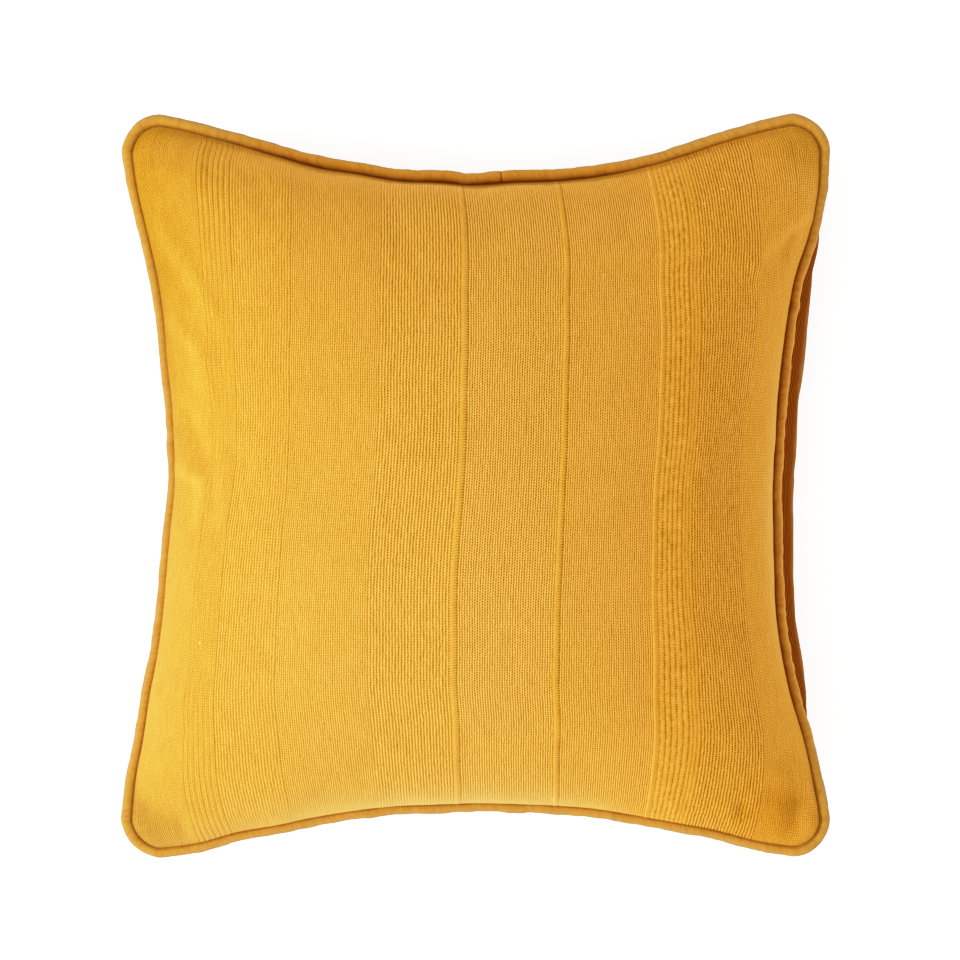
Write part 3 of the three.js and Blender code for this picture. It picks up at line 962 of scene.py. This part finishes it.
def pipingMaterial(length):
    look = cord
    material, tree, shader = nodeTree("pipingCotton")
    along, around = addAttribute(tree, "pipeAlong"), addAttribute(tree, "pipeAround")
    atRim = addAttribute(tree, "pipeRim")
    threads = [
        wave(scaled(along, 1 / look["thread"], scaled(around, slant)))
        for slant in (look["slant"], -look["slant"])]
    weave = product(*threads)
    patchy = addNoise(along, around, look["patchWaves"], 3)
    # Fine pulls of the bias strip run aslant over the cord
    alongWaves, turnWaves, aroundWaves = look["pullWaves"]
    aslant = scaled(along, alongWaves, scaled(around, turnWaves))
    pulls = addNoise(aslant, around, (1, aroundWaves))
    dark = scaled(weave, look["weave"], scaled(patchy, *look["patch"]))
    dark = swing(pulls, look["pull"], dark)
    dark = swing(addNoise(along, around, look["fleckWaves"], 1), look["fleck"], dark)
    dark = scaled(scaled(patchy, *look["blotch"]), atRim, dark)
    colour = mixed(clamped(dark), look["colour"], look["dark"])
    # Painted sheen pales its outside, and painted shade deepens it where it faces the front's seam
    uneven = addNoise(along, around, look["unevenWaves"], 3)
    outward = addMath("SUBTRACT", 1.0, wave(around))
    outerSheen = addMath("POWER", outward, look["outerSheenPower"])
    outerSheen = product(outerSheen, scaled(atRim, look["outerSheenAtRim"], 1.0))
    colour = mixed(outerSheen, colour, look["outer"])
    # Painted shade tints its right side and its top
    colour = mixed(atRim, colour, look["rightShadeTint"], "MULTIPLY")
    colour = mixed(addAttribute(tree, "pipeTop"), colour, look["topShadeTint"], "MULTIPLY")
    # A painted highlight along the outer edge of its right side
    rim = product(addMath("POWER", outward, look["rimHighlightPower"]), atRim)
    rim = product(rim, scaled(uneven, *look["rimHighlightUneven"]))
    colour = mixed(rim, colour, look["rim"])
    facing = wave(scaled(around, 1.0, 0.01))
    inner = addMath("POWER", facing, look["innerPower"])
    inner = product(inner, addAttribute(tree, "pipeShade"))
    colour = mixed(clamped(inner), colour, look["inner"])
    # A thin painted shadow line where it dips in beside the front
    within = addMath("SUBTRACT", facing, addAttribute(tree, "pipeReach"))
    line = clamped(scaled(within, *look["lineEdge"]))
    line = product(line, addAttribute(tree, "pipeLine"))
    line = product(line, scaled(uneven, *look["lineUneven"]))
    colour = mixed(clamped(line), colour, look["line"])
    atJoin = clamped(scaled(toNearest(along, length), -1 / look["endDark"], 1.0))
    colour = mixed(atJoin, colour, look["inner"])
    raised = scaled(weave, -1.0, scaled(pulls, *look["pullBump"]))
    finishCloth(shader, colour, raised, look)
    return material


# Its radius along and around it, with lumps and ends a little thinner
def pipingSizes(run, turned):
    lumps = fieldNoise(turned * 3 % 3, run[:, None] / cord["lumpLength"], 11)
    fine = fieldNoise(turned * 5 % 5, run[:, None] / cord["fineLength"] + turned * 2, 12)
    lumps += cord["fineLump"] * fine
    lumps[:, -1] = lumps[:, 0]
    fromEnd = np.minimum(run, run[-1] + run[0] - run) / cord["endLength"]
    size = cord["radius"] * (1 + cord["lump"] * lumps)
    return size * (1 - cord["endThin"] * np.exp(-fromEnd ** 2))[:, None]


# Its middle line, which wanders a little out and in between the corners, less beside them
def pipingCentre(line, run, outward, straight):
    calm = 1 - cord["calm"] * ease(straight, 0.55, 0.85)
    wander = lineNoise(run / cord["wander"], 21)
    wander = wander * (1 + lineNoise(run / cord["wanderChange"], 23))
    onRight = ease(line[:, 0] / edge["halfWidth"], 0.6, 0.8)
    ripple = lineNoise(run / cord["ripple"], 24) * onRight
    centre = line + outward * (cord["pucker"] * calm * (wander + ripple))[:, None]
    for side, place, out, halfLength in pinches:
        level = side in ("top", "bottom")
        at, across = (line[:, 0], line[:, 1]) if level else (line[:, 1], line[:, 0])
        onIt = across * (1 if side in ("top", "right") else -1) > 0.1
        pinch = out * mm * onIt * np.exp(-((at - place * mm) / (halfLength * mm)) ** 2)
        centre += outward * pinch[:, None]
    centre[:, 2] += cord["pucker"] * lineNoise(run / cord["sag"], 22)
    return centre


# What its material reads, at each step of its length
def pipingShades(line, outward, straight):
    toRight, toTop = line[:, 0] / edge["halfWidth"], line[:, 1] / edge["halfHeight"]
    atTop = ease(toTop, 0.6, 0.78) * (1 - ease(np.abs(toRight + 0.1), 0.4, 0.68))
    atRight = ease(toRight, 0.6, 0.8) * (1 - ease(np.abs(toTop), 0.5, 0.85))
    outX, outY = outward[:, 0], outward[:, 1]
    facings = dict(right=outX, left=-outX, top=outY, bottom=-outY)
    weights = {name: np.maximum(part, 0) ** 2 for name, part in facings.items()}
    over = sum(sides[name]["over"] * weights[name] for name in sides)
    over = over + sides["left"]["over"] * weights["left"] * (leftShare(toTop) - 1)
    reach = edge["seamInset"] - bare["overShare"] * over - bare["short"]
    cornerward = ease(straight, 0.45, 0.8)
    lines = dict(
        lineShades, left=lineShades["left"] * cornerward,
        right=lineShades["right"] + lineShades["rightCorners"] * cornerward)
    everywhere, moreAtTop, moreAtRight = innerShades
    return dict(
        pipeShade=everywhere + moreAtTop * atTop + moreAtRight * atRight,
        pipeLine=sum(lines[name] * weights[name] for name in weights),
        pipeReach=0.5 + np.minimum(reach, bare["most"]) / (2 * cord["radius"]),
        pipeRim=atRight, pipeTop=atTop)


def makePiping():
    line, run = pipingLine()
    steps, around = cord["steps"], cord["around"]
    tangent = unit(np.gradient(line, axis=0))
    outward = unit(np.cross(tangent, (0, 0, 1)))
    upright = np.cross(outward, tangent)
    turn = np.linspace(0, 2 * np.pi, around + 1)
    turned = turn / (2 * np.pi)
    straight = np.minimum(np.abs(line[:, 0]) / straightAcross, np.abs(line[:, 1]) / straightUp)
    centre = pipingCentre(line, run, outward, straight)
    spokes = outward[:, None, :] * np.cos(turn)[:, None] + upright[:, None, :] * np.sin(turn)[:, None]
    points = centre[:, None, :] + pipingSizes(run, turned[None, :])[..., None] * spokes
    piping = gridObject("pipingCord", points)
    mesh = piping.data
    corners = np.empty(len(mesh.loops), np.int32)
    mesh.loops.foreach_get("vertex_index", corners)
    layers = dict(pipingShades(line, outward, straight), pipeAlong=run)
    layers = {label: np.repeat(values, around + 1)[corners] for label, values in layers.items()}
    giveValues(mesh, "CORNER", pipeAround=np.tile(turned, steps)[corners], **layers)
    bm = bmesh.new()
    bm.from_mesh(mesh)
    bmesh.ops.remove_doubles(bm, verts=bm.verts, dist=1e-6)
    for face in bm.faces:
        face.smooth = True
    rims = [e for e in bm.edges if e.is_boundary]
    ends = bmesh.ops.holes_fill(bm, edges=rims)
    for face in ends["faces"]:
        face.smooth = False
    bmesh.ops.recalc_face_normals(bm, faces=bm.faces)
    bm.to_mesh(mesh)
    bm.free()
    mesh.materials.append(pipingMaterial(run[-1] + run[0]))
    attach(piping, "root")
    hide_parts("piping")
    say(f"piping: {len(mesh.polygons)} faces")


makePiping()


# Floor and light: a broad soft light from the left, as from a white wall, over a pale floor. The
# room is lit evenly, and more from above and from the side of the cover's bottom edge.
studio = dict(
    floor=4.0, key=68, keySize=2.4, keyPlace=(-2.0, -0.5, 1.15), keyAim=(0, 0, 0.08), even=0.2,
    fromTop=1.25, fromBottom=0.61, white=1.6,
    tones=((0.1, 0.16), (0.2, 0.32), (0.3, 0.478), (0.4, 0.63), (0.52, 0.76), (0.7, 0.88)),
)
floorLook = {
    "Base Color": (0.93, 0.93, 0.93), "Roughness": 0.9, "Specular IOR Level": 0.1,
    "Emission Color": (1, 1, 1), "Emission Strength": 0.6,
}

corners = np.array([[(x, y, 0) for x in (-1, 1)] for y in (-1, 1)])
floor = gridObject("floor", studio["floor"] * corners)
paleFloor, _, floorShader = nodeTree("paleFloor")
for label, value in floorLook.items():
    feed(value, floorShader.inputs[label])
floor.data.materials.append(paleFloor)


def keyLight():
    data = bpy.data.lights.new("key", "AREA")
    data.shape = "DISK"
    data.size = studio["keySize"]
    data.energy = studio["key"]
    lamp = linkObject("key", data)
    lamp.location = studio["keyPlace"]
    aim = Vector(studio["keyAim"]) - Vector(studio["keyPlace"])
    lamp.rotation_euler = aim.to_track_quat("-Z", "Y").to_euler()


def softRoom():
    world = bpy.data.worlds.new("room")
    world.use_nodes = True
    tree = world.node_tree
    background = tree.nodes["Background"]
    feed((1, 1, 1), background.inputs["Color"])
    direction = tree.nodes.new("ShaderNodeTexCoord").outputs["Generated"]
    parts = tree.nodes.new("ShaderNodeSeparateXYZ")
    feed(direction, parts.inputs[0])
    bottom = scaled(parts.outputs[1], -studio["fromBottom"] / 2, studio["fromBottom"] / 2)
    top = addMath("MAXIMUM", parts.outputs[2], 0.0)
    light = scaled(top, studio["fromTop"], addMath("ADD", bottom, studio["even"]))
    feed(light, background.inputs["Strength"])
    bpy.context.scene.world = world


keyLight()
softRoom()

# The picture's tones: bright parts roll off softly, as on film
viewSettings = bpy.context.scene.view_settings
viewSettings.view_transform = "Standard"
viewSettings.use_curve_mapping = True
curves = viewSettings.curve_mapping
curves.white_level = [studio["white"]] * 3
tone = curves.curves[3]
tone.points[0].location = (0, 0)
tone.points[1].location = (1, 1)
for place, level in studio["tones"]:
    tone.points.new(place, level)
curves.update()

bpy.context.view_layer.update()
say("done")
